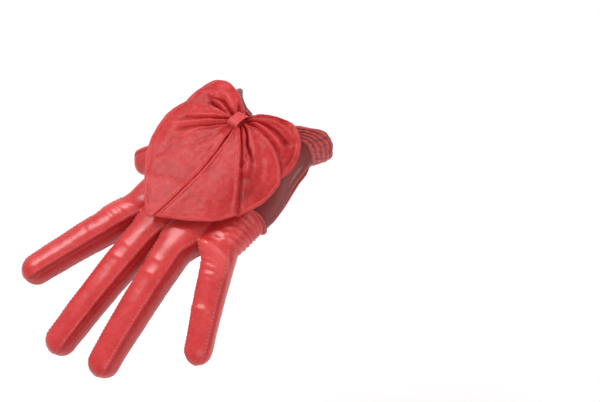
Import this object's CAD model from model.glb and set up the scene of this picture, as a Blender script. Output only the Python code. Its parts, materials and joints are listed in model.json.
"""The looks of a red leather dress glove with a bow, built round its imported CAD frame.

Lengths in this file are millimetres until a mesh is made, and +Y points to the fingertips, as in the frame.
The leather is one surface, worked out from the same rounded sections as the CAD solids. It is creased and
wrinkled as a whole, and then cut into panels at the seams, so that neighbouring panels meet exactly.
"""

import json
import math

import bpy
import numpy as np
from mathutils import Matrix, Vector, noise


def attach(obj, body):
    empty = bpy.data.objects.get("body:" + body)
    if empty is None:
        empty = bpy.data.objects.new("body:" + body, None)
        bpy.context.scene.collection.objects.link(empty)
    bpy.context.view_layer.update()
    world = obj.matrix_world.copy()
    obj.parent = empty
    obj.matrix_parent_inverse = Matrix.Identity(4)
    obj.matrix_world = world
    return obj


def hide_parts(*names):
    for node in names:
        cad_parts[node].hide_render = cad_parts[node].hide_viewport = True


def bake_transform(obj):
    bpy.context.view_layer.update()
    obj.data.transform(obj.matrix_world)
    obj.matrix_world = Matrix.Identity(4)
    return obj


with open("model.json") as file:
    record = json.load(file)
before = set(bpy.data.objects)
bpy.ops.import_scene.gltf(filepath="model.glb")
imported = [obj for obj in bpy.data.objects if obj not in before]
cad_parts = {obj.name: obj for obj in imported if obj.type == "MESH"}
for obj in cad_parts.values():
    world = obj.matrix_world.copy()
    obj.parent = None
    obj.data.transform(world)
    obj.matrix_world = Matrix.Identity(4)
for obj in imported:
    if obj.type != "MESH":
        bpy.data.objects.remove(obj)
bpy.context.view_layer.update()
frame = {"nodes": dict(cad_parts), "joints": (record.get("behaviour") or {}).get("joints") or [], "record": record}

MM = 0.001

# ---- Driving sizes, shared with the CAD frame ----
BACK, SIDE = 6, 4  # steps of a section in the CAD model: across a back, and down a side
RING = 2 * (BACK + SIDE)
HAND_RING = 2 * (4 * BACK + SIDE)
ROOT_Y = 98.0
PALM_HALF_W, WRIST_HALF_W = 42.0, 31.0
WRIST_HALF_H, KNUCKLE_HALF_H = 21.0, 13.0
FLARE, SCOOP, RIM_Y, BAND_Y = 6.0, 22.0, -9.0, 5.0
RIM_DROP, HAND_X = 3.0, -3.0
SQUARENESS, CORNER_AT = 2.5, 0.84
TAPER, TIP_CAP, WEB_BLEND = 0.24, 9.0, 9.0
WEB_SET_BACK = np.array([0, -1.5, 1.0])
LEATHER, LINING = 0.9, 0.4
HAND_COLUMN_W = 3.4  # about how wide one step round the hand is

FINGERS = ["index", "middle", "ring", "little"]
# root centre, yaw, pitch, roll, curl, length, half width, half thickness
DIGITS = {
    "index": ((28.5, 97, -2), 17, 0, 0, 3, 74, 9.8, 10),
    "middle": ((8, 99, -0.5), 3, -10.5, 0, 10, 93, 10.4, 10.2),
    "ring": ((-12.8, 98, 0), -4, -13, 0, 10, 91, 10.4, 10.2),
    "little": ((-36, 89, -2.5), -24, -17, 0, 10, 68, 9.4, 9.4),
    "thumb": ((29, 36, -8), 79, -22, 45, 12, 60, 13, 13),
}
joints = {j["name"]: j for j in frame["joints"]}


def vec(*v):
    return np.array(v, float)


def unit(v):
    return v / np.maximum(np.linalg.norm(v, axis=-1, keepdims=True), 1e-12)


def mix(a, b, t):
    return a * (1 - t) + b * t


def ease(t):
    t = np.clip(t, 0, 1)
    return t * t * (3 - 2 * t)


def bump(x, width):
    return np.exp(-((x / width) ** 2))


# ---- Sections and digits ----
def oval(half_across, half_up, at):
    inside = 1 - np.minimum(1, np.abs(at) / half_across) ** SQUARENESS
    return half_up * np.maximum(0, inside) ** (1 / SQUARENESS)


def section(half_w, half_h, k, back):
    """Point k of a rounded section, as (across, up): back, outer side, palm and thumb side in turn."""
    j = np.mod(k, 2 * (back + SIDE))
    x_c = CORNER_AT * half_w
    z_c = oval(half_w, half_h, x_c)
    x_top = x_c * (1 - 2 * j / back)
    z_out = z_c * (1 - 2 * (j - back) / SIDE)
    x_low = x_c * (2 * (j - back - SIDE) / back - 1)
    z_in = z_c * (2 * (j - 2 * back - SIDE) / SIDE - 1)
    on_top, on_out, on_low = j <= back, j <= back + SIDE, j <= 2 * back + SIDE
    x = np.where(on_top, x_top, np.where(on_out, -oval(half_h, half_w, z_out),
                 np.where(on_low, x_low, oval(half_h, half_w, z_in))))
    z = np.where(on_top, oval(half_w, half_h, x_top), np.where(on_out, z_out,
                 np.where(on_low, -oval(half_w, half_h, x_low), z_in)))
    return x, z


def directions(name):
    _, yaw, pitch, roll = DIGITS[name][:4]
    yaw, pitch, roll = (math.radians(a) for a in (yaw, pitch, roll))
    along = vec(math.sin(yaw) * math.cos(pitch), math.cos(yaw) * math.cos(pitch), math.sin(pitch))
    up = vec(-math.sin(yaw) * math.sin(pitch), -math.cos(yaw) * math.sin(pitch), math.cos(pitch))
    sideways = vec(math.cos(yaw), -math.sin(yaw), 0)
    normal = math.cos(roll) * up + math.sin(roll) * sideways
    return along, normal, np.cross(along, normal)


def centre(name, s):
    root, curl, length = DIGITS[name][0], math.radians(DIGITS[name][4]), DIGITS[name][5]
    along, normal, _ = directions(name)
    s = np.asarray(s, float)[..., None]
    turn = curl * s / length
    return vec(*root) + length / curl * (np.sin(turn) * along - (1 - np.cos(turn)) * normal)


def normal_at(name, s):
    along, normal, _ = directions(name)
    turn = (math.radians(DIGITS[name][4]) * np.asarray(s, float) / DIGITS[name][5])[..., None]
    return np.cos(turn) * normal + np.sin(turn) * along


def tube(name, s, j, inset):
    """A point of a digit's own skin, s along it and j round it."""
    length, half_w, half_h = DIGITS[name][5:8]
    s, j = np.broadcast_arrays(np.asarray(s, float), np.asarray(j, float))
    cap = np.maximum(0, (s - length + TIP_CAP) / TIP_CAP)
    round_off = np.sqrt(np.maximum(0.0009, 1 - np.minimum(1, cap) ** 2.3))
    narrowed = 1 - (1.6 * TAPER if name == "thumb" else TAPER) * s / length
    x, z = section((half_w * narrowed - inset) * round_off, (half_h * narrowed - inset) * round_off, j, BACK)
    at = s - inset * cap
    return centre(name, at) + x[..., None] * directions(name)[2] + z[..., None] * normal_at(name, at)


def web_corner(f, inset, back):
    """Where two fingers meet, on the back or the palm of the hand."""
    a, b = (BACK, 0) if back else (BACK + SIDE, RING - SIDE)
    middle = (tube(FINGERS[f], 0, a, inset) + tube(FINGERS[f + 1], 0, b, inset)) / 2
    return middle + (WEB_SET_BACK if back else 0)


def skin(name, s, j, inset):
    """A digit's skin, eased at its root onto the webs that it shares with its neighbours."""
    points = tube(name, s, j, inset)
    if name == "thumb":
        return points
    f = FINGERS.index(name)
    k = np.mod(np.broadcast_to(np.asarray(j, float), points.shape[:-1]), RING)[..., None]
    zero = vec(0, 0, 0)
    left_back = web_corner(f - 1, inset, True) - tube(name, 0, 0, inset) if f > 0 else zero
    left_palm = web_corner(f - 1, inset, False) - tube(name, 0, RING - SIDE, inset) if f > 0 else zero
    right_back = web_corner(f, inset, True) - tube(name, 0, BACK, inset) if f < 3 else zero
    right_palm = web_corner(f, inset, False) - tube(name, 0, BACK + SIDE, inset) if f < 3 else zero
    shift = np.where(k <= BACK, mix(left_back, right_back, k / BACK),
            np.where(k <= BACK + SIDE, mix(right_back, right_palm, (k - BACK) / SIDE),
            np.where(k <= 2 * BACK + SIDE, mix(right_palm, left_palm, (k - BACK - SIDE) / BACK),
                     mix(left_palm, left_back, (k - 2 * BACK - SIDE) / SIDE))))
    fade = 1 - ease(np.broadcast_to(np.asarray(s, float), points.shape[:-1])[..., None] / WEB_BLEND)
    # the two sides of a web share one line at the very root
    side_out = (k > BACK) & (k < BACK + SIDE) & (f < 3)
    side_in = (k > 2 * BACK + SIDE) & (f > 0)
    own = tube(name, 0, k[..., 0], inset)
    if f < 3:
        other = tube(FINGERS[f + 1], 0, RING - (k[..., 0] - BACK), inset)
        shift = np.where(side_out, (own + other) / 2 + mix(WEB_SET_BACK, 0, (k - BACK) / SIDE) - own, shift)
    if f > 0:
        other = tube(FINGERS[f - 1], 0, BACK + (RING - k[..., 0]), inset)
        shift = np.where(side_in, (own + other) / 2 + mix(WEB_SET_BACK, 0, (RING - k) / SIDE) - own, shift)
    return points + shift * fade


def root_ring(c, inset):
    """The ring of the hand at the finger roots, made of the fingers' own sections."""
    c = np.mod(np.asarray(c, float), HAND_RING)
    out = np.zeros(c.shape + (3,))
    back_end, palm_end = 4 * BACK, 8 * BACK + SIDE

    def lay(here, name, k):
        out[here] = skin(name, np.zeros(here.sum()), k[here], inset)

    for f, name in enumerate(FINGERS):
        palm_start = back_end + SIDE + (3 - f) * BACK
        lay((c >= f * BACK) & (c < (f + 1) * BACK), name, c - f * BACK)
        lay((c >= palm_start) & (c < palm_start + BACK), name, c - palm_start + BACK + SIDE)
    lay((c >= back_end) & (c < back_end + SIDE), "little", c - back_end + BACK)
    lay(c >= palm_end, "index", c - palm_end + 2 * BACK + SIDE)
    return out


def hand_grid(ys, cs, inset):
    """The hand's skin at rows ys and columns cs."""
    ys, cs = np.asarray(ys, float), np.asarray(cs, float)
    root = root_ring(cs, inset if np.isscalar(inset) else 0)[None]
    y, c = ys[:, None], cs[None]
    opened = ease((12 - y) / (12 - RIM_Y))
    half_w = mix(WRIST_HALF_W, PALM_HALF_W, ease((y - 16) / 46)) + FLARE * opened - inset
    half_h = mix(WRIST_HALF_H, KNUCKLE_HALF_H, ease((y - 20) / 75)) + 0.6 * FLARE * opened - inset
    x, z = section(half_w, half_h, c, 4 * BACK)
    scooped = SCOOP * np.maximum(0, z / half_h) ** 3 * ease((45 - y) / 54)
    whole = np.stack([x + HAND_X * ease(y / 50), y + scooped, z - RIM_DROP * opened], -1)
    share = ease((y - 52) / (ROOT_Y - 52))[..., None]
    lowered = np.broadcast_to(root, whole.shape) + (y - ROOT_Y)[..., None] * vec(0, 1, 0)
    return mix(whole, lowered, share)


# ---- Creases and wrinkles ----
def waves(points, size, seed):
    """Smooth random height from -1 to 1 at each point, with lumps about size wide."""
    flat = points.reshape(-1, 3) / size + vec(7.3, 1.9, 4.1) * seed
    found = [noise.noise(Vector(p)) for p in flat]
    return np.array(found).reshape(points.shape[:-1]) * 1.6


def folds(u, v, rows):
    """Raised folds on a surface. Each is (u, v, slope in degrees, length, width, height)."""
    height = np.zeros(np.broadcast(u, v).shape)
    for u0, v0, slope, length, width, tall in rows:
        c, s = math.cos(math.radians(slope)), math.sin(math.radians(slope))
        along, off = (u - u0) * c + (v - v0) * s, -(u - u0) * s + (v - v0) * c
        off = off + 0.06 * along ** 2 / max(length, 1)
        height += tall * np.exp(-((off / width) ** 2)) * np.exp(-((2 * along / length) ** 4))
    return height


def random_folds(seed, count, u_range, v_range, slope, length, width, height):
    rng = np.random.default_rng(seed)
    return [(rng.uniform(*u_range), rng.uniform(*v_range), slope + rng.normal(0, 9),
             length * rng.uniform(0.6, 1.3), width * rng.uniform(0.7, 1.3), height * rng.uniform(0.5, 1.2))
            for _ in range(count)]


# ---- One surface for all the leather ----
ROW_FINE, COLUMN_FINE = 6, 3
HAND_ROWS, HOLE_ROW, HOLE_SPAN, GUSSET_ROWS = 14, 2, 5, 9
HOLE_COLUMN = HAND_RING - HOLE_SPAN
WRIST_SAG = 3.2
JOIN_GRID = 200  # points that agree to this fraction of a millimetre are one point


class Skin:
    """Grids of points that join where they touch, with a panel name for each cell."""

    def __init__(self):
        self.points, self.raise_by, self.faces, self.panels = [], [], [], []
        self.count, self.grids = 0, {}

    def add(self, name, points, raise_by, panel_of):
        rows, columns = points.shape[:2]
        self.grids[name] = (self.count, rows, columns)
        for i in range(rows - 1):
            for j in range(columns):
                panel = panel_of(i, j)
                if panel:
                    a, b = i * columns + j, i * columns + (j + 1) % columns
                    self.faces.append([self.count + k for k in (b, a, a + columns, b + columns)])
                    self.panels.append(panel)
        self.points.append(points.reshape(-1, 3))
        self.raise_by.append(np.broadcast_to(raise_by, points.shape[:2]).ravel())
        self.count += rows * columns

    def join(self):
        points, heights = np.concatenate(self.points), np.concatenate(self.raise_by)
        places = np.round(points * JOIN_GRID).astype(int)
        _, first, same = np.unique(places, axis=0, return_index=True, return_inverse=True)
        same = self.same = same.ravel()
        self.at = points[first]
        self.height = np.bincount(same, heights) / np.bincount(same)
        self.quads = same[np.array(self.faces)]
        self.panels = np.array(self.panels)

    def grid(self, name, values):
        """Values of the joined points, laid out again as the rows and columns of one grid."""
        start, rows, columns = self.grids[name]
        return values[self.same[start:start + rows * columns]].reshape(rows, columns, -1)


def vertex_normals(points, quads):
    a, b, c, d = (points[quads[:, k]] for k in range(4))
    face = np.cross(c - a, d - b)
    out = np.zeros_like(points)
    for k in range(4):
        np.add.at(out, quads[:, k], face)
    return unit(out)


def smoothed(points, quads, weight, times):
    """Points eased towards their neighbours' middle, as far as weight says."""
    edges = np.concatenate([quads[:, [k, (k + 1) % 4]] for k in range(4)])
    edges = np.unique(np.sort(edges, 1), axis=0)
    share = np.bincount(edges.ravel(), minlength=len(points))[:, None].clip(1)
    for _ in range(times):
        total = np.zeros_like(points)
        np.add.at(total, edges[:, 0], points[edges[:, 1]])
        np.add.at(total, edges[:, 1], points[edges[:, 0]])
        points = points + (total / share - points) * weight[:, None]
    return points


def digit_rows(name, start):
    """Distances along a digit from start to its tip, closer together round the tip."""
    length = DIGITS[name][5]
    straight = np.linspace(start, length - TIP_CAP, int((length - TIP_CAP - start) / 1.1) + 1)
    round_tip = TIP_CAP * np.sin(np.radians(np.linspace(6, 89.7, 15)))
    return np.concatenate([straight, length - TIP_CAP + round_tip])


def hinge_at(name, which):
    """How far along a digit its first or second hinge lies, from the frame."""
    joint = joints[f"{name}_{('root', 'middle')[which]}_bend"]
    s = np.linspace(0, DIGITS[name][5], 800)
    return s[np.argmin(np.linalg.norm(centre(name, s) - vec(*joint["pos_m"]) / MM, axis=1))]


def split_at(name):
    """Where a digit's root piece gives way to its tip piece: halfway between its bends."""
    return (hinge_at(name, 0) + 8 + hinge_at(name, 1) - 7) / 2


def digit_wrinkles(name, s, j, points):
    """The folds that a worn finger puts into its leather."""
    half_w, length = DIGITS[name][6], DIGITS[name][5]
    u = (j - BACK / 2) * half_w * 1.68 / BACK
    on_back = np.exp(-np.maximum(0, np.abs(u) / half_w - 0.75) ** 2 / 0.05) * (j <= BACK + 1)
    knuckle = hinge_at(name, 1)
    seed = 3 + list(DIGITS).index(name)
    rows = [(0, knuckle + d, 0, 14, 1.2, 0.25) for d in (-4.2, 3.2)] if name != "thumb" else []
    if name == "little":
        rows = [(0, 18, 4, 15, 1.3, 0.9), (1, 21.5, 8, 13, 1.0, 0.5), (-1, 38, 3, 13, 1.3, 1.0),
                (1, 41.5, 6, 9, 1.0, 0.4)]
        rows += [(-3 + 1.6 * k, 1 + 3.4 * k, 38 - 6 * k, 24, 1.25, 1.4 - 0.1 * k) for k in range(5)]
    elif name == "index":
        rows += [(1.5 - k, 3 + 3.6 * k, -28 + 8 * k, 18, 1.3, 0.6) for k in range(4)]
    elif name != "thumb":
        rows = [(-1, knuckle - 22 + 9 * k, 8 - 8 * k, 12, 1.4, 0.45) for k in range(2)]
    height = folds(u, s, rows) * on_back
    palm_u = (j - 1.5 * BACK - SIDE) * half_w * 1.68 / BACK
    under = (j > BACK + SIDE - 1) & (j < 2 * BACK + SIDE + 1)
    creases = [(0, at + d, 0, 17, 0.9, -0.5)
               for at in (hinge_at(name, 0) + 1, knuckle) for d in (-3, 0.4, 3.6)]
    height = height + folds(palm_u, s, creases) * under
    # the leather is drawn up along the seams at both edges of the back
    to_seam = np.minimum(np.abs(j - 0.35), np.abs(j - BACK + 0.35)) * half_w * 1.68 / BACK
    beside_seam = np.minimum(np.abs(j - BACK - 0.3), np.abs(j - RING + 0.3)) * half_w * 1.68 / BACK
    height = height + (0.45 * bump(to_seam, 0.8) - 0.5 * bump(beside_seam, 0.8)) * ease(s / 6)
    height = height + 0.2 * waves(points, 13, seed) + 0.07 * waves(points, 3.6, seed + 20)
    return height * np.clip((length - s) / 6, 0.15, 1)


skin_all = Skin()
hand_cs = np.arange(HAND_RING * COLUMN_FINE) / COLUMN_FINE
hand_ys = mix(BAND_Y, ROOT_Y, np.linspace(0, 1, HAND_ROWS * ROW_FINE + 1))


def hand_panel(i, j):
    row, column = (i + 0.5) / ROW_FINE, (j + 0.5) / COLUMN_FINE
    if column < 4 * BACK:
        return "back_panel"
    if column < 4 * BACK + SIDE and row < GUSSET_ROWS:
        return "side_gusset"
    if HOLE_ROW < row < HOLE_ROW + HOLE_SPAN and column > HOLE_COLUMN:
        return None
    return "palm_panel"


def hand_wrinkles(points):
    """Creases of the hand: short folds at the outer edge by the gusset, and long soft ones in the palm."""
    y, c = hand_ys[:, None], hand_cs[None]
    height = 0.5 * waves(points, 17, 1) + 0.14 * waves(points, 5, 2)
    outer = (c - 4 * BACK - SIDE / 2) * HAND_COLUMN_W
    rows = [(4 - 1.2 * k, 64 + 4.6 * k, 26 - 3 * k, 24, 1.3, 1.3) for k in range(8)]
    rows += random_folds(5, 12, (-14, -3), (52, 96), 28, 12, 1.0, 0.6)
    height = height + folds(outer, y, rows)
    palm = (c - 8 * BACK) * HAND_COLUMN_W
    rows = [(0, 60, 38, 60, 2.2, -1.1), (6, 76, -8, 50, 2.0, -0.9), (14, 48, 62, 44, 2.2, -1.0)]
    rows += random_folds(8, 16, (-30, 20), (14, 40), 4, 26, 1.5, 0.5)
    rows += random_folds(9, 14, (-35, 25), (80, 96), 6, 16, 1.3, 0.5)
    height = height + folds(palm, y, rows)
    # the soft outer side of the wrist hangs a little below the gusset
    height = height + WRIST_SAG * bump(c - 4 * BACK - SIDE - 1.2, 3.2) * ease((70 - y) / 30) * ease((y + 4) / 12)
    in_gusset = (c > 4 * BACK) & (c < 4 * BACK + SIDE - 1) & (y < 66)
    height = np.where(in_gusset, 0.3 * height, height)
    return height * np.clip((ROOT_Y + 2 - y) / 6, 0.3, 1) * np.clip((y - BAND_Y) / 5, 0, 1)


points = hand_grid(hand_ys, hand_cs, 0)
skin_all.add("hand", points, hand_wrinkles(points), hand_panel)

for name in FINGERS:
    s = digit_rows(name, 0)[:, None]
    j = (np.arange(RING * COLUMN_FINE) / COLUMN_FINE)[None]
    split = split_at(name)
    points = skin(name, s, j, 0)

    def digit_panel(i, k, name=name, s=s[:, 0], split=split):
        column = (k + 0.5) / COLUMN_FINE
        part = "back" if column < BACK else "fourchette_outer" if column < BACK + SIDE else (
            "palm" if column < 2 * BACK + SIDE else "fourchette_inner")
        if (name, part) in (("index", "fourchette_inner"), ("little", "fourchette_outer")):
            part = "palm"
        return f"{name}_{'root' if (s[i] + s[i + 1]) / 2 < split else 'tip'}_{part}"

    points[-1] = points[-1].mean(0)
    skin_all.add(name, points, digit_wrinkles(name, s, j, points), digit_panel)

# the thumb: its root grows out of the hole in the palm panel
hole_steps = [np.arange(0, HOLE_SPAN, 1 / fine) for fine in (COLUMN_FINE, ROW_FINE, COLUMN_FINE, ROW_FINE)]
thumb_js = np.concatenate([steps + side * HOLE_SPAN for side, steps in enumerate(hole_steps)]) - 2
THUMB_END = hinge_at("thumb", 0) - 8


def hole_edge(k, inset):
    m = np.mod(k + 2, RING)
    side, on = np.floor(m / HOLE_SPAN), np.mod(m, HOLE_SPAN)
    row = np.choose(side.astype(int), [0 * on, on, HOLE_SPAN + 0 * on, HOLE_SPAN - on]) + HOLE_ROW
    column = np.choose(side.astype(int), [on, HOLE_SPAN + 0 * on, HOLE_SPAN - on, 0 * on]) + HOLE_COLUMN
    ys = mix(BAND_Y, ROOT_Y, row / HAND_ROWS)
    return np.array([hand_grid([y], [c], inset)[0, 0] for y, c in zip(ys, column)])


def thumb_root_points(js, inset, rows=26):
    edge, t = hole_edge(js, inset)[None], np.linspace(0, 1, rows)[:, None]
    reach = tube("thumb", THUMB_END * mix(0.35, 1, t), js[None], inset)
    return mix(edge, reach, ease(t * 1.17)[..., None])


points = thumb_root_points(thumb_js, 0)
rising = np.linspace(0, 1, len(points))[:, None]
skin_all.add("thumb_root", points, 0.5 * waves(points, 9, 12) * rising, lambda i, j: "thumb_root")
thumb_s = digit_rows("thumb", THUMB_END)
points = tube("thumb", thumb_s[:, None], thumb_js[None], 0)
THUMB_SPLIT = (hinge_at("thumb", 0) + hinge_at("thumb", 1)) / 2


def thumb_panel(i, k):
    part = "back" if np.mod(thumb_js[k] + 0.05, RING) < BACK else "palm"
    return f"thumb_{'middle' if (thumb_s[i] + thumb_s[i + 1]) / 2 < THUMB_SPLIT else 'tip'}_{part}"


points[-1] = points[-1].mean(0)
wrinkles = digit_wrinkles("thumb", thumb_s[:, None], np.mod(thumb_js[None], RING), points)
skin_all.add("thumb", points, wrinkles, thumb_panel)
skin_all.join()

# soften the crotches between the fingers and the rim of the thumb's root
down = np.linspace(0, 1, 12)[:, None]
web_lines = np.concatenate([mix(web_corner(f, 0, True), web_corner(f, 0, False), down) for f in range(3)])
near_web = np.min([np.linalg.norm(skin_all.at - p, axis=1) for p in web_lines], axis=0)
near_thumb = np.min([np.linalg.norm(skin_all.at - p, axis=1) for p in hole_edge(thumb_js, 0)], axis=0)
WEB_SOFT, WEB_SOFT_REACH, THUMB_SOFT, THUMB_SOFT_REACH, SOFT_STEPS = 0.3, 3, 0.6, 9, 10
soften = WEB_SOFT * ease(1 - near_web / WEB_SOFT_REACH) + THUMB_SOFT * ease(1 - near_thumb / THUMB_SOFT_REACH)
skin_all.at = smoothed(skin_all.at, skin_all.quads, soften, SOFT_STEPS)
base_normal = vertex_normals(skin_all.at, skin_all.quads)
skin_all.at = skin_all.at + base_normal * skin_all.height[:, None]
shade_normal = vertex_normals(skin_all.at, skin_all.quads)


# ---- Making pieces ----
def tube_faces(rows, columns, wrap=False, ends=False):
    """Quads of a grid whose columns close into rings. wrap joins last ring to first, ends cap them."""
    faces = []
    for i in range(rows if wrap else rows - 1):
        this, following = i * columns, (i + 1) % rows * columns
        faces += [[this + j, this + (j + 1) % columns, following + (j + 1) % columns, following + j]
                  for j in range(columns)]
    if ends:
        faces += [list(range(columns))[::-1], list(range((rows - 1) * columns, rows * columns))]
    return faces


def make(name, points, faces, finish, relief=0.0, normals=None):
    """A mesh piece from points in millimetres, with a finish. relief is how far folds raise each point."""
    mesh = bpy.data.meshes.new(name)
    mesh.from_pydata((np.asarray(points) * MM).tolist(), [], [list(map(int, f)) for f in faces])
    rest = mesh.attributes.new("rest", "FLOAT_VECTOR", "POINT")
    rest.data.foreach_set("vector", np.asarray(points, np.float32).ravel())
    raised = mesh.attributes.new("relief", "FLOAT", "POINT")
    raised.data.foreach_set("value", np.broadcast_to(relief, len(points)).astype(np.float32))
    mesh.materials.append(materials[finish])
    mesh.polygons.foreach_set("use_smooth", np.ones(len(mesh.polygons), bool))
    mesh.update()
    if normals is not None:
        mesh.normals_split_custom_set(normals)
    piece = bpy.data.objects.new(name, mesh)
    bpy.context.scene.collection.objects.link(piece)
    return piece


def thick(points, normals, shading, quads, thickness):
    """A shell of quads with an inner side and a rim: its points, faces, and a normal for each face corner."""
    used, local = np.unique(quads, return_inverse=True)
    quads = local.reshape(-1, 4)
    outer, n = points[used], len(used)
    everything = np.concatenate([outer, outer - normals[used] * thickness])
    edges = np.concatenate([quads[:, [k, (k + 1) % 4]] for k in range(4)])
    edges = edges[edges[:, 0] != edges[:, 1]]
    both = set(map(tuple, edges.tolist()))
    rim = [(b, a, a + n, b + n) for a, b in edges.tolist() if (b, a) not in both]
    faces, corners = [], []
    vertex_shading = np.concatenate([shading[used], -shading[used]])
    for quad in quads.tolist() + (quads[:, ::-1] + n).tolist():
        face = [v for k, v in enumerate(quad) if v != quad[k - 1]]
        faces.append(face)
        corners.extend(vertex_shading[face])
    for face in rim:
        a, b, c, d = everything[list(face)]
        faces.append(face)
        corners.extend([unit(np.cross(c - a, d - b))] * 4)
    return everything, faces, np.array(corners)


# ---- Materials ----
def node_material(name, base, dark, light, roughness, grain, grain_depth, relief=0.5, mottle=0.6, gloss=0.42,
                  coat=0.0, sheen=0.0):
    """Leather or cloth: mottled colour, lighter on raised folds and darker in creases, with a fine grain.

    grain is how many grains there are in a millimetre, and grain_depth how strongly they show.
    """
    material = bpy.data.materials.new(name)
    material.use_nodes = True
    nodes, links = material.node_tree.nodes, material.node_tree.links
    shader = nodes["Principled BSDF"]
    rest = nodes.new("ShaderNodeAttribute")
    rest.attribute_name = "rest"
    raised = nodes.new("ShaderNodeAttribute")
    raised.attribute_name = "relief"

    def noise_node(scale, detail, kind="ShaderNodeTexNoise"):
        node = nodes.new(kind)
        node.inputs["Scale"].default_value = scale
        if "Detail" in node.inputs:
            node.inputs["Detail"].default_value = detail
        links.new(rest.outputs["Vector"], node.inputs["Vector"])
        return node

    def math_node(operation, a, b):
        node = nodes.new("ShaderNodeMath")
        node.operation = operation
        for socket, value in zip(node.inputs, (a, b)):
            if isinstance(value, (int, float)):
                socket.default_value = value
            else:
                links.new(value, socket)
        return node.outputs[0]

    clouds = noise_node(0.07, 5).outputs["Fac"]
    blotches = noise_node(0.45, 3).outputs["Fac"]
    cells = noise_node(grain, 0, "ShaderNodeTexVoronoi").outputs["Distance"]
    shade = math_node("MULTIPLY", math_node("SUBTRACT", math_node("ADD", clouds, blotches), 1.0), mottle)
    shade = math_node("ADD", shade, math_node("MULTIPLY", raised.outputs["Fac"], relief))
    shade = math_node("ADD", shade, math_node("MULTIPLY", math_node("SUBTRACT", cells, 0.4), 0.25))
    ramp = nodes.new("ShaderNodeValToRGB")
    ramp.color_ramp.interpolation = "B_SPLINE"
    elements = ramp.color_ramp.elements
    for element, colour in zip(elements, (dark, light)):
        element.color = (*colour, 1)
    elements.new(0.5).color = (*base, 1)
    links.new(math_node("ADD", shade, 0.5), ramp.inputs["Fac"])
    links.new(ramp.outputs["Color"], shader.inputs["Base Color"])
    uneven = math_node("ADD", math_node("MULTIPLY", clouds, 0.2), roughness - 0.1)
    links.new(uneven, shader.inputs["Roughness"])
    bump_node = nodes.new("ShaderNodeBump")
    bump_node.inputs["Strength"].default_value = grain_depth
    bump_node.inputs["Distance"].default_value = 0.0002
    links.new(math_node("ADD", cells, math_node("MULTIPLY", noise_node(grain * 0.4, 4).outputs["Fac"], 0.8)),
              bump_node.inputs["Height"])
    links.new(bump_node.outputs["Normal"], shader.inputs["Normal"])
    shader.inputs["Coat Weight"].default_value = coat
    shader.inputs["Coat Roughness"].default_value = 0.2
    shader.inputs["Specular IOR Level"].default_value = gloss
    shader.inputs["Sheen Weight"].default_value = sheen
    shader.inputs["Sheen Roughness"].default_value = 0.4
    return material


FINISHES = {
    "glove_leather": dict(base=(0.60, 0.020, 0.022), dark=(0.30, 0.006, 0.008), light=(0.74, 0.085, 0.085),
                          roughness=0.30, grain=2.2, grain_depth=0.2, mottle=0.45, coat=0.12),
    "fourchette_leather": dict(base=(0.50, 0.017, 0.020), dark=(0.25, 0.005, 0.007), light=(0.66, 0.07, 0.07),
                               roughness=0.36, grain=2.2, grain_depth=0.25, mottle=0.45, coat=0.1),
    "bow_leather": dict(base=(0.51, 0.009, 0.010), dark=(0.20, 0.003, 0.004), light=(0.64, 0.07, 0.07),
                        roughness=0.42, grain=1.9, grain_depth=0.35, relief=0.55, mottle=0.65, gloss=0.3),
    "gathered_leather": dict(base=(0.36, 0.018, 0.018), dark=(0.10, 0.005, 0.005), light=(0.62, 0.09, 0.09),
                             roughness=0.4, grain=2.0, grain_depth=0.5, relief=0.8),
    "gusset_leather": dict(base=(0.20, 0.010, 0.009), dark=(0.11, 0.005, 0.005), light=(0.28, 0.026, 0.024),
                           roughness=0.6, grain=2.0, grain_depth=0.3),
    "lining": dict(base=(0.24, 0.055, 0.05), dark=(0.13, 0.025, 0.022), light=(0.36, 0.12, 0.11),
                   roughness=0.55, grain=3.4, grain_depth=0.5, sheen=0.4),
    "elastic": dict(base=(0.20, 0.035, 0.033), dark=(0.10, 0.015, 0.015), light=(0.30, 0.08, 0.075),
                    roughness=0.7, grain=1.4, grain_depth=0.6),
    "thread": dict(base=(0.66, 0.11, 0.11), dark=(0.40, 0.03, 0.03), light=(0.78, 0.22, 0.22),
                   roughness=0.6, grain=4.0, grain_depth=0.5),
}
materials = {name: node_material(name, **finish) for name, finish in FINISHES.items()}


# ---- Giving each piece its place ----
bodies = frame["record"]["behaviour"]["bodies"]
body_of_node = {node: body for body, members in bodies.items() for node in members}


def place_on_digit(piece):
    """Let a piece of a digit follow the hinge in its zone, 0 at the root or 1 at the middle, or the tip."""
    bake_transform(piece)


def stand_for(piece, node):
    """Let a piece stand for a CAD node and move with its body."""
    digit, _, rest = node.partition("_")
    if digit in DIGITS and rest.startswith(("root_", "middle_", "tip_")) and body_of_node.get(node) != "hand":
        place_on_digit(piece)
    else:
        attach(piece, "hand")
    if node in frame["nodes"]:
        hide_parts(node)


# ---- The leather panels ----
WEB_DEPTH = 1.3  # how far a web runs up between two fingers
LAP = {"back": 0.45, "fourchette": -0.35, "web": -0.35, "gusset": -0.3}


def panel_finish(node):
    if "gusset" in node:
        return "gusset_leather"
    return "fourchette_leather" if "fourchette" in node or "web" in node else "glove_leather"


def root_web(panels):
    """The first cells of the two fourchettes at a crotch belong to the web between the fingers."""
    middles = skin_all.at[skin_all.quads].mean(1)
    for f in range(3):
        a, b = FINGERS[f], FINGERS[f + 1]
        for name, side in ((a, "outer"), (b, "inner")):
            along = (middles - centre(name, 0.0)) @ directions(name)[0]
            panels[(panels == f"{name}_root_fourchette_{side}") & (along < WEB_DEPTH)] = f"{a}_{b}_web"
    return panels


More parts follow.
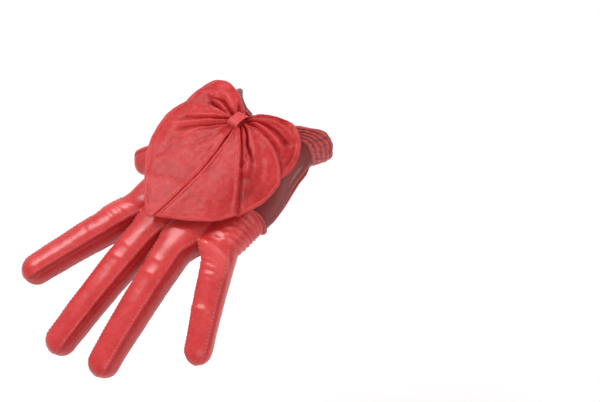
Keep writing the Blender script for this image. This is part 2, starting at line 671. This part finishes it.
skin_all.panels = root_web(skin_all.panels)
for panel in sorted(set(skin_all.panels)):
    lap = next((amount for word, amount in LAP.items() if word in panel), 0)
    cells = skin_all.quads[skin_all.panels == panel]
    points, faces, corners = thick(skin_all.at + base_normal * lap, base_normal, shade_normal, cells, LEATHER)
    raised = np.tile(skin_all.height[np.unique(cells)], 2) * 0.5
    stand_for(make(panel + "_leather", points, faces, panel_finish(panel), raised, corners), panel)


# ---- Linings ----
LINING_STEP = 3
LINING_AT = LEATHER + 0.05


def lining_shell(node, points):
    """A closed sheet of lining from rings of points."""
    flat, quads = points.reshape(-1, 3), np.array(tube_faces(*points.shape[:2]))[:, ::-1]
    normals = vertex_normals(flat, quads)
    points, faces, _ = thick(flat, normals, normals, quads, LINING)
    stand_for(make(node + "_sheet", points, faces, "lining"), node)


skin_inside = skin_all.at - base_normal * LINING_AT
for name in FINGERS:
    inside, s = skin_all.grid(name, skin_inside)[:, ::LINING_STEP], digit_rows(name, 0)
    halfway = int(np.searchsorted(s, split_at(name)))
    lining_shell(f"{name}_root_lining", inside[:halfway + 1])
    lining_shell(f"{name}_tip_lining", inside[halfway:-1])
lining_shell("thumb_root_lining", skin_all.grid("thumb_root", skin_inside)[2:, ::LINING_STEP])

# the hand's lining starts behind the cuff's elastic and leaves the thumb's hole open
hand_inside = skin_all.grid("hand", skin_inside)[::LINING_STEP, ::LINING_STEP]
collar_ys = np.linspace(RIM_Y + 1.2, BAND_Y - 1, 8)
collar = hand_grid(collar_ys, hand_cs[::LINING_STEP], LEATHER + 1.0)
collar_cs = hand_cs[::LINING_STEP]
wavy = 0.45 * np.sin(collar_cs * 2.1 + 1.7 * np.sin(collar_cs * 0.7))
collar += wavy[None, :, None] * unit(collar - collar.mean(1, keepdims=True))
inside = np.concatenate([collar, hand_inside])
rows, columns = inside.shape[:2]
cells = []
for i in range(rows - 1):
    for j in range(columns):
        row = (i - len(collar_ys) + 0.5) * LINING_STEP / ROW_FINE
        column = (j + 0.5) * LINING_STEP / COLUMN_FINE
        if not (HOLE_ROW < row < HOLE_ROW + HOLE_SPAN and column > HOLE_COLUMN):
            a, b = i * columns + j, i * columns + (j + 1) % columns
            cells.append([b, a, a + columns, b + columns])
flat, cells = inside.reshape(-1, 3), np.array(cells)
flat_normals = vertex_normals(flat, cells)
points, faces, corners = thick(flat, flat_normals, flat_normals, cells, LINING)
stand_for(make("hand_lining_sheet", points, faces, "lining", normals=corners), "hand_lining")


# ---- Seams: stitches, and the piping of the gusset ----
STITCH_PITCH, STITCH_LENGTH, STITCH_R = 2.2, 1.5, 0.29


def capsule(a, b, radius, sides=8):
    """Points and faces of a rounded stitch from a to b."""
    along = unit(b - a)
    across = unit(np.cross(along, vec(0.3, 0.5, 0.81)))
    up = np.cross(along, across)
    turn = np.linspace(0, 2 * math.pi, sides, endpoint=False)
    ring = np.cos(turn)[:, None] * across + np.sin(turn)[:, None] * up
    length = np.linalg.norm(b - a)
    start = [(0, 0.15), (radius * 0.4, 0.75), (radius, 1)]
    rows = start + [(length - at, r) for at, r in start[::-1]]
    points = np.concatenate([a + along * at + ring * radius * r for at, r in rows])
    return points, tube_faces(len(rows), sides, ends=True)


def along_line(points, pitch):
    """Pairs of points spaced evenly along a line: the ends of each stitch."""
    reach = np.concatenate([[0], np.cumsum(np.linalg.norm(np.diff(points, axis=0), axis=1))])
    starts = np.arange(pitch * 0.4, reach[-1] - pitch, pitch)

    def place(at):
        return np.stack([np.interp(at, reach, points[:, k]) for k in range(3)])

    return [(place(start), place(start + STITCH_LENGTH)) for start in starts]


def stitch_row(name, lines, radius=STITCH_R):
    points, faces, count = [], [], 0
    for line in lines:
        for a, b in along_line(line, STITCH_PITCH):
            new_points, new_faces = capsule(a, b, radius)
            points.append(new_points)
            faces += [tuple(v + count for v in face) for face in new_faces]
            count += len(new_points)
    return make(name, np.concatenate(points), faces, "thread")


def on_grid(name, column, lap):
    """A line along a grid at a column, which may fall between two columns, lifted onto the leather."""
    lifted = skin_all.grid(name, skin_all.at + base_normal * (lap + 0.08))
    a, t = int(column), column - int(column)
    return mix(lifted[:, a], lifted[:, a + 1], t)


for name in FINGERS:
    s, split = digit_rows(name, 0), split_at(name)
    lines = [on_grid(name, column, LAP["back"]) for column in (1.1, BACK * COLUMN_FINE - 1.1)]
    for zone, keep in ((0, (s > 1) & (s <= split)), (1, (s > split) & (s < s[-1] - 4))):
        piece = stitch_row(f"{name}_{('root', 'tip')[zone]}_stitches", [line[keep] for line in lines])
        place_on_digit(piece)
thumb_columns = [np.argmin(np.abs(thumb_js - j)) for j in (0.5, BACK - 0.5)]
for zone, keep in ((0, thumb_s <= THUMB_SPLIT), (1, (thumb_s > THUMB_SPLIT) & (thumb_s < thumb_s[-1] - 4))):
    lines = [on_grid("thumb", column, LAP["back"])[keep] for column in thumb_columns]
    place_on_digit(stitch_row(f"thumb_{('middle', 'tip')[zone]}_stitches", lines))

gusset_row = GUSSET_ROWS * ROW_FINE
outer_line = on_grid("hand", 4 * BACK * COLUMN_FINE - 1.0, LAP["back"])
lower_line = on_grid("hand", (4 * BACK + SIDE) * COLUMN_FINE + 1.0, 0)
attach(stitch_row("hand_side_stitches", [outer_line[1:], lower_line[1:]]), "hand")


def pipe(line, radius, sides=10):
    """A round cord of leather sewn along a seam, with closed ends."""
    along = unit(np.gradient(line, axis=0))
    across = unit(np.cross(along, vec(0, 0.05, 1)))
    up = np.cross(along, across)
    turn = np.linspace(0, 2 * math.pi, sides, endpoint=False)
    count = np.arange(len(line))
    r = radius * np.sqrt(np.clip(np.minimum(count, count[::-1]) / 2, 0.05, 1))
    rings = line[:, None] + r[:, None, None] * (np.cos(turn)[None, :, None] * across[:, None] +
                                                np.sin(turn)[None, :, None] * up[:, None])
    return rings.reshape(-1, 3), tube_faces(len(line), sides, ends=True)


hand_skin = skin_all.grid("hand", skin_all.at + base_normal * 0.4)
corner_columns = 4 * BACK * COLUMN_FINE, (4 * BACK + SIDE) * COLUMN_FINE
piping_line = np.concatenate([hand_skin[:gusset_row, corner_columns[1]],
                              hand_skin[gusset_row, corner_columns[0]:corner_columns[1] + 1][::-1]])
points, faces = pipe(piping_line, 1.0)
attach(make("gusset_piping", points, faces, "gathered_leather", 0.25), "hand")


# ---- The gathered cuff ----
CUFF_RIBS, CUFF_RIB_HEIGHT, CUFF_TURN_R = 5, 0.8, 0.8


def cuff_rows():
    """(y, inset) down the outside of the band, round its hem and up the inside."""
    down = [(y, 0.0) for y in np.linspace(BAND_Y + 0.8, RIM_Y + CUFF_TURN_R, 56)]
    turn = [(RIM_Y + CUFF_TURN_R * (1 - math.sin(a)), CUFF_TURN_R * (1 - math.cos(a)))
            for a in np.radians(np.linspace(12, 168, 9))]
    up = [(y, 2 * CUFF_TURN_R) for y in np.linspace(RIM_Y + CUFF_TURN_R, BAND_Y + 0.6, 14)]
    return np.array(down + turn + up)


def cuff_band():
    """Rows of elastic draw the band into ribs that run round the wrist, each with fine puckers across it."""
    ys, insets = cuff_rows().T
    cs = np.arange(HAND_RING * 8) / 8
    grid = np.concatenate([hand_grid([y], cs, inset) for y, inset in zip(ys, insets)])
    outward = unit((grid - grid.mean(1, keepdims=True)) * vec(1, 0, 1))
    wander = 0.5 * waves(grid, 11, 31) + 0.25 * waves(grid * vec(1, 0.4, 1), 3, 32)
    turns = (ys[:, None] - RIM_Y + wander) * CUFF_RIBS / (BAND_Y + 0.8 - RIM_Y)
    ribs = np.abs(np.sin(math.pi * turns)) ** 0.7
    puckers = waves(grid * vec(1, 0.25, 1), 1.7, 33) * mix(0.15, 0.4, waves(grid, 16, 34) * 0.5 + 0.5)
    outside = np.where(insets > 1.2, 0.3, 1.0)[:, None]
    height = (CUFF_RIB_HEIGHT * (ribs - 0.5) + puckers * (0.4 + ribs)) * outside
    wavy = 0.8 * waves(grid * vec(1, 0, 1), 6, 35) * ease((RIM_Y + 5 - ys) / 5)[:, None]
    grid = grid + outward * height[..., None] + wavy[..., None] * vec(0, 1, 0)
    return grid, height


grid, height = cuff_band()
faces = tube_faces(*grid.shape[:2], wrap=True)
piece = make("cuff_band_gathered", grid.reshape(-1, 3), faces, "gathered_leather", height.ravel())
stand_for(piece, "cuff_band")


# ---- The bow ----
KNOT = vec(0, 26, 26.6)
LOBE_T, LOBE_FROM, LOBE_RIM = 1.6, 3.2, 1.3
TAIL_RISE, LOOP_LIFT = LOBE_T + 0.3, -0.6
# How far each lobe reaches from the knot, as (angle, reach), and its folds. A fold has its angles at three
# distances from the knot, those distances, its height and its width. A pleat also has how far it takes to
# rise again beside its sharp edge, towards higher angles if that is positive.
LOBES = {
    "bow_tail_thumb_side": dict(
        side=1, lift=TAIL_RISE, rows=100,
        reach=((-8, 37), (3, 39), (18, 46.5), (34, 52.3), (51, 56.8), (73, 65.5), (90, 77.5)),
        folds=[((25, 27.5, 26), (5, 20, 34), -1.5, 0.9, 0), ((13, 20, 23), (5, 15, 30), 0.8, 1.4, 0),
               ((38, 34, 32), (5, 20, 40), 1.0, 1.2, 0), ((52, 42, 39), (5, 22, 36), -1.5, 0.9, 0),
               ((63, 52, 46), (5, 14, 24), 0.9, 1.2, 0), ((78, 70, 66), (5, 16, 30), -0.5, 2.0, 0)]),
    "bow_tail_little_side": dict(
        side=-1, lift=TAIL_RISE, rows=100,
        reach=((-6, 36), (22, 48.5), (28, 53.5), (36, 57.8), (45, 62.2), (52, 65.6), (59, 67.5), (73, 71.2),
               (90, 77)),
        folds=[((40, 47.5, 51.5), (5, 32, 62), -1.2, 0.35, -5), ((39, 46.8, 51), (5, 32, 61), -0.9, 0.45, 0),
               ((46, 49.5, 52.8), (6, 32, 60), 0.55, 0.8, 0),
               ((16, 33, 34), (6, 18, 29), -2.2, 0.55, 0), ((26, 40, 42), (6, 18, 27), 0.8, 1.3, 0),
               ((6, 20, 28), (6, 16, 26), 0.8, 1.8, 0), ((34, 38, 42), (27, 31, 36), 0.9, 1.3, 0),
               ((40, 46, 50), (30, 33, 36), 0.6, 1.0, 0), ((20, 24, 27), (34, 38, 42), 0.6, 1.8, 0)]),
    "bow_loop_thumb_side": dict(
        side=1, lift=LOOP_LIFT, rows=70,
        reach=((-80, 7), (-62, 12.2), (-47, 22.9), (-36, 33.4), (-28, 38.8), (-13, 41.3), (5, 42.4)),
        folds=[((8, -2, -6), (6, 15, 25), -1.8, 1.1, 0), ((-6, -12, -12), (6, 15, 28), 1.2, 1.6, 0),
               ((-17, -20, -10), (8, 18, 28), -2.0, 0.9, 0), ((-32, -32, -26), (6, 15, 28), 1.0, 2.2, 0),
               ((-51, -50, -50), (4, 8, 12), -1.8, 0.9, 0), ((-16, -14, -10), (30, 33, 36), 1.0, 2.0, 0)]),
    "bow_loop_little_side": dict(
        side=-1, lift=LOOP_LIFT, rows=70,
        reach=((-64, 10), (-53, 16.8), (-42, 24.6), (-35, 31), (-25, 35.9), (-15, 39.3), (-4, 41.6),
               (13, 43.8), (20, 44)),
        folds=[((-40, -34, -19), (5, 20, 34), 1.4, 1.4, 0), ((-33, -24, -9), (6, 18, 32), -1.9, 1.0, 0),
               ((-24, -12, -2), (9, 19, 31), 1.6, 1.3, 0), ((-16, -3, 6), (8, 20, 34), -1.1, 1.2, 0),
               ((-52, -44, -34), (5, 16, 28), -0.9, 1.4, 0)]),
}


def lobe_reach(lobe, angle):
    """How far a lobe reaches from the knot at an angle in degrees: a smooth line through its table."""
    x, y = np.array(lobe["reach"]).T
    slope = np.gradient(y, x)
    at = np.clip(angle, x[0], x[-1])
    k = np.clip(np.searchsorted(x, at) - 1, 0, len(x) - 2)
    step = x[k + 1] - x[k]
    t = (at - x[k]) / step
    return ((1 + 2 * t) * (1 - t) ** 2 * y[k] + t * (1 - t) ** 2 * step * slope[k]
            + t * t * (3 - 2 * t) * y[k + 1] + t * t * (t - 1) * step * slope[k + 1])


def lobe_angles(lobe, t, r):
    """The angle in degrees at t across a lobe: its edges curve, as where one lobe lies over the next."""
    if lobe["lift"] == LOOP_LIFT:
        return mix(lobe["reach"][0][0], lobe["reach"][-1][0], t)
    seam_x = -3.2 * np.sin(np.pi * r / 71) + lobe["side"] * 0.25
    at_seam = np.degrees(np.arccos(np.clip(lobe["side"] * seam_x / r, -1, 1)))
    free_edge = -2 + 0.1 * r if lobe["side"] > 0 else -8 + 0.2 * r + 0.0085 * r * r
    return mix(free_edge, at_seam, t)


def lobe_folds(lobe, angle, r):
    height = np.zeros(r.shape)
    for angles, reaches, tall, width, rise in lobe["folds"]:
        off = np.radians(angle - np.interp(r, reaches, angles)) * r
        fade = ease((reaches[-1] + 5 - r) / 7) * ease((r - reaches[0] + 4) / 4)
        if rise:
            beyond = off * np.sign(rise)
            shape = ease(0.5 + beyond / (2 * width)) * np.exp(-np.maximum(beyond, 0) / abs(rise))
        else:
            shape = np.exp(-((off / (width * (0.6 + 0.02 * r))) ** 2))
        height += tall * shape * fade
    return height


def lobe_surface(lobe, t, u):
    """Points on a lobe's top, t across it and u from the knot to its rim, and how far folds raise them."""
    reach = lobe_reach(lobe, lobe_angles(lobe, t, np.full(np.shape(t), 48.0)))
    r = mix(LOBE_FROM, reach, u)
    angle = lobe_angles(lobe, t, r)
    side = lobe["side"]
    x, y = side * r * np.cos(np.radians(angle)), r * np.sin(np.radians(angle))
    gathers = 0.28 * np.sin(np.radians(angle) * 22 + 1.5 * side) * ease((20 - r) / 16)
    points = np.stack([x, y, 0 * x], -1)
    raised = lobe_folds(lobe, angle, r) + gathers
    raised = raised + 0.55 * waves(points, 15, 40 + side + lobe["lift"]) + 0.22 * waves(points, 5, 50 + side)
    raised = raised * ease((r - 1) / 5)
    dome = 1.1 * np.sin(np.pi * np.clip(t, 0, 1)) * np.sin(np.pi * np.clip(u, 0, 1) ** 0.8)
    slope = 0.6 * (1 - np.exp(-r / 10)) - 0.15 * y + 0.09 * x - 0.003 * x * x
    points[..., 2] = slope + lobe["lift"] + raised + dome
    return KNOT + points, raised


def lobe_piece(name, lobe):
    edge = (1 - np.cos(np.linspace(0, math.pi / 2, 7))) / 2 * 0.045
    across = np.concatenate([edge[:-1], np.linspace(edge[-1], 1 - edge[-1], 90), 1 - edge[:-1][::-1]])
    along = np.concatenate([np.linspace(0, 0.975, lobe["rows"]), 1 - edge[:-1][::-1] * 1.1])
    u, t = np.meshgrid(along, across, indexing="ij")
    top, raised = lobe_surface(lobe, t, u)
    # distance to the nearest free edge, which rounds the two layers over into each other
    width = np.linalg.norm(np.diff(top, axis=1), axis=-1).sum(1)[:, None]
    length = np.linalg.norm(np.diff(top, axis=0), axis=-1).sum(0)[None]
    to_edge = np.minimum(np.minimum(t, 1 - t) * width, (1 - u) * length)
    inward = 1 - np.clip(to_edge / LOBE_RIM, 0, 1)
    half = LOBE_T / 2 * np.sqrt(np.maximum(0.0006, 1 - inward ** 2.2))
    hem = 0.22 * bump(to_edge - 1.7, 0.8) - 0.18 * bump(to_edge - 3.3, 0.7)
    middle = top - vec(0, 0, LOBE_T / 2)
    upper = middle + vec(0, 0, 1) * (half + hem * ease(u * 3))[..., None]
    lower = middle - vec(0, 0, 1) * half[..., None]
    rows, columns = u.shape
    n = rows * columns
    inner = [[i * columns + j, i * columns + j + 1, (i + 1) * columns + j + 1, (i + 1) * columns + j]
             for i in range(rows - 1) for j in range(columns - 1)]
    ring = list(range(columns)) + [i * columns + columns - 1 for i in range(1, rows)]
    ring += [(rows - 1) * columns + j for j in range(columns - 2, -1, -1)]
    ring += [i * columns for i in range(rows - 2, 0, -1)]
    faces = [q if lobe["side"] < 0 else q[::-1] for q in inner]
    faces += [[v + n for v in (q[::-1] if lobe["side"] < 0 else q)] for q in inner]
    for a, b in zip(ring, ring[1:] + ring[:1]):
        faces.append([b, a, a + n, b + n] if lobe["side"] < 0 else [a, b, b + n, a + n])
    wear = 0.35 * raised + 0.7 * bump(to_edge - 0.5, 1.0) * ease(u * 3) - 0.35 * ease((14 - u * length) / 14)
    points = np.concatenate([upper.reshape(-1, 3), lower.reshape(-1, 3)])
    piece = make(name + "_gathered", points, faces, "bow_leather", np.tile(wear.ravel(), 2))
    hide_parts(name)
    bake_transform(piece)
    return piece


lobes = {name: lobe_piece(name, lobe) for name, lobe in LOBES.items()}

# the knot: a flat band, wrapped once round the gathered lobes
KNOT_W, KNOT_T, KNOT_HALF_Y, KNOT_HALF_Z = 8.4, 1.0, 5.3, 4.1
KNOT_RELIEF, CORE_RELIEF = 0.75, -0.3


def knot_points():
    turn = np.linspace(0, 2 * math.pi, 96, endpoint=False)
    across = np.linspace(-1, 1, 31)
    outside = []
    for half_y, half_z, order in ((KNOT_HALF_Y, KNOT_HALF_Z, across),
                                  (KNOT_HALF_Y - KNOT_T, KNOT_HALF_Z - KNOT_T, across[::-1])):
        for x in order:
            round_off = 0.45 * (1 - math.sqrt(max(0, 1 - abs(x) ** 6)))
            drop = round_off if half_y == KNOT_HALF_Y else -round_off
            cy, cz = np.cos(turn), np.sin(turn)
            y = (half_y - drop + 0.25 * x * x) * np.sign(cy) * np.abs(cy) ** 0.6
            z = (half_z - drop + 0.35 * x * x) * np.sign(cz) * np.abs(cz) ** 0.6
            narrowed = 1 - 0.12 * bump(y, 6)
            outside.append(np.stack([x * KNOT_W / 2 * narrowed + 0.12 * y, y, z], -1))
    grid = np.array(outside)
    crease = 0.12 * np.sin(grid[..., 0] * 2.4 + 0.5 * np.sin(grid[..., 1]))
    on_outside = (np.arange(len(grid)) < len(across))[:, None, None]
    return KNOT + grid + unit(grid * vec(0, 1, 1)) * crease[..., None] * on_outside


grid = knot_points()
faces = tube_faces(*grid.shape[:2], wrap=True)
stand_for(make("bow_knot_band", grid.reshape(-1, 3), faces, "bow_leather", KNOT_RELIEF), "bow_knot")


# the rolled leather that fills the knot
CORE_HALF_W, CORE_HALF_Y, CORE_HALF_Z = 3.6, 3.7, 2.1
turn, across = np.linspace(0, 2 * math.pi, 48, endpoint=False), np.linspace(-1, 1, 19)[:, None]
rolled = np.sqrt(1 - (0.97 * across) ** 8) * (1 + 0.06 * np.sin(9 * turn + 1.2 * across))
grid = KNOT + np.stack([0 * turn + across * CORE_HALF_W, rolled * CORE_HALF_Y * np.cos(turn),
                        rolled * CORE_HALF_Z * np.sin(turn)], -1)
faces = tube_faces(*grid.shape[:2], ends=True)
stand_for(make("bow_core_roll", grid.reshape(-1, 3), faces, "bow_leather", CORE_RELIEF), "bow_core")


# ---- Hidden CAD nodes keep their shape and take a finish ----
CARRIED_OVER = {"cuff_elastic": "elastic", "bow_backing": "glove_leather", "bow_knot_stitches": "thread"}
for node, finish in CARRIED_OVER.items():
    shown = frame["nodes"][node]
    shown.data.materials.clear()
    shown.data.materials.append(materials[finish])
    places = np.array([v.co for v in shown.data.vertices], np.float32) / MM
    rest = shown.data.attributes.new("rest", "FLOAT_VECTOR", "POINT")
    rest.data.foreach_set("vector", places.astype(np.float32).ravel())


for name, lobe in LOBES.items():
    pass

root_curves = thumb_root_points(thumb_js, 0)

for name in FINGERS:
    split, end = split_at(name), DIGITS[name][5]
for name in ("thumb_root_leather", "thumb_root_lining_sheet"):
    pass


# ---- Floor, light and camera ----
FLOOR_BELOW, FLOOR_HALF, ROOM_LIGHT = 0.26, 6.0, 0.62
floor_mesh = bpy.data.meshes.new("floor")
floor_corners = ((-1, -1), (1, -1), (1, 1), (-1, 1))
floor_points = [(x * FLOOR_HALF, y * FLOOR_HALF, -FLOOR_BELOW) for x, y in floor_corners]
floor_mesh.from_pydata(floor_points, [], [(0, 1, 2, 3)])
floor = bpy.data.objects.new("floor", floor_mesh)
bpy.context.scene.collection.objects.link(floor)
floor_material = bpy.data.materials.new("floor")
floor_material.use_nodes = True
floor_shader = floor_material.node_tree.nodes["Principled BSDF"].inputs
floor_shader["Base Color"].default_value = (0.95, 0.95, 0.95, 1)
floor_shader["Roughness"].default_value = 0.9
floor_shader["Specular IOR Level"].default_value = 0.0
floor_mesh.materials.append(floor_material)

world = bpy.data.worlds.new("studio")
bpy.context.scene.world = world
world.use_nodes = True
world.node_tree.nodes["Background"].inputs["Color"].default_value = (1, 1, 1, 1)
world.node_tree.nodes["Background"].inputs["Strength"].default_value = ROOM_LIGHT
bpy.context.scene.view_settings.view_transform = "Standard"


def softbox(name, place, aim, size, watts):
    data = bpy.data.lights.new(name, "AREA")
    data.shape, data.size, data.energy = "SQUARE", size, watts
    light = bpy.data.objects.new(name, data)
    bpy.context.scene.collection.objects.link(light)
    light.location = place
    light.rotation_euler = (Vector(aim) - Vector(place)).to_track_quat("-Z", "Y").to_euler()


AIM = (0, 0.08, 0)
softbox("key", (0.45, 0.03, 0.85), AIM, 0.4, 5.2)
softbox("fill", (-0.7, 0.7, 0.6), AIM, 0.7, 2.4)
softbox("back", (-0.1, -0.8, 0.7), AIM, 0.5, 2)

SENSOR, LENS = 36, 103.511
EYE = (-0.57863, 0.45342, 0.73383)
RIGHT, UP = (-0.745103, -0.645058, -0.169471), (0.405172, -0.639630, 0.653230)
BACKWARD = (-0.529770, 0.418059, 0.737950)
camera_data = bpy.data.cameras.new("camera")
camera_data.sensor_width, camera_data.lens = SENSOR, LENS
camera = bpy.data.objects.new("camera", camera_data)
bpy.context.scene.collection.objects.link(camera)
camera.matrix_world = Matrix.Translation(EYE) @ Matrix((RIGHT, UP, BACKWARD)).transposed().to_4x4()
bpy.context.scene.camera = camera
